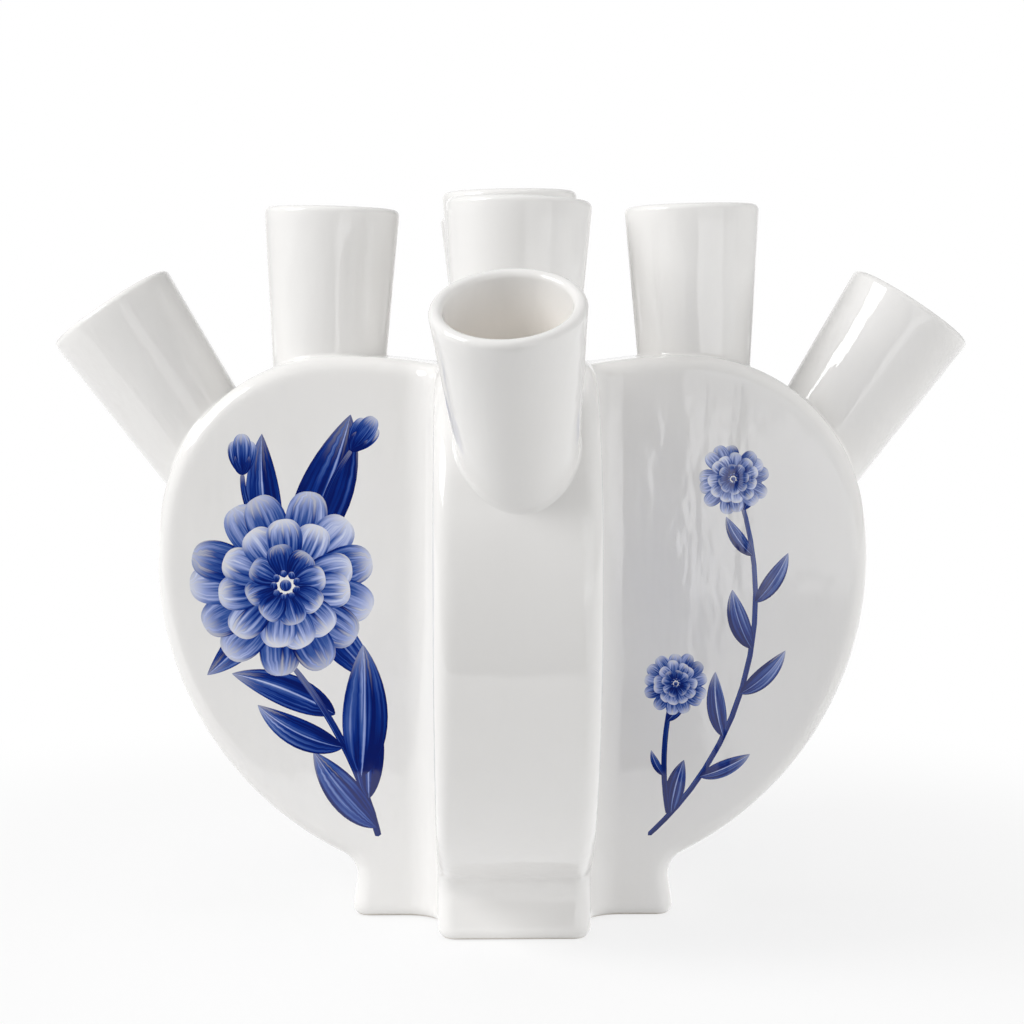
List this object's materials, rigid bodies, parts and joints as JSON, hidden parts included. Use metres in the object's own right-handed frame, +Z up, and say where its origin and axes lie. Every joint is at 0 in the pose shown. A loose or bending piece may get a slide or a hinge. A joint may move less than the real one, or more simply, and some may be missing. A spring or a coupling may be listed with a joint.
{
  "type": "tulipiere",
  "caption": "Hollow glazed vase of two crossed heart-shaped slabs on a low flared foot, with tapered spouts along the top edges for cut tulips.",
  "frame": {"origin": "middle of the vase on the table, under the centre spout", "axes": "+Z up, +X to the right wing and -Y to the front wing, which faces the viewer"},
  "size_m": [0.2494, 0.2397, 0.197],
  "materials": {
    "shell_glaze": "glossy white glaze with blue decoration",
    "spout_glaze": "glossy white glaze",
    "foot_glaze": "glossy white glaze, bare on the standing rim"
  },
  "bodies": {
    "root": {"foot": "foot_glaze", "front_left_shell": "shell_glaze", "front_right_shell": "shell_glaze", "back_left_shell": "shell_glaze", "back_right_shell": "shell_glaze", "centre_spout": "spout_glaze", "left_inner_spout": "spout_glaze", "right_inner_spout": "spout_glaze", "front_inner_spout": "spout_glaze", "back_inner_spout": "spout_glaze", "left_outer_spout": "spout_glaze", "right_outer_spout": "spout_glaze", "front_outer_spout": "spout_glaze", "back_outer_spout": "spout_glaze"}
  },
  "joints": []
}
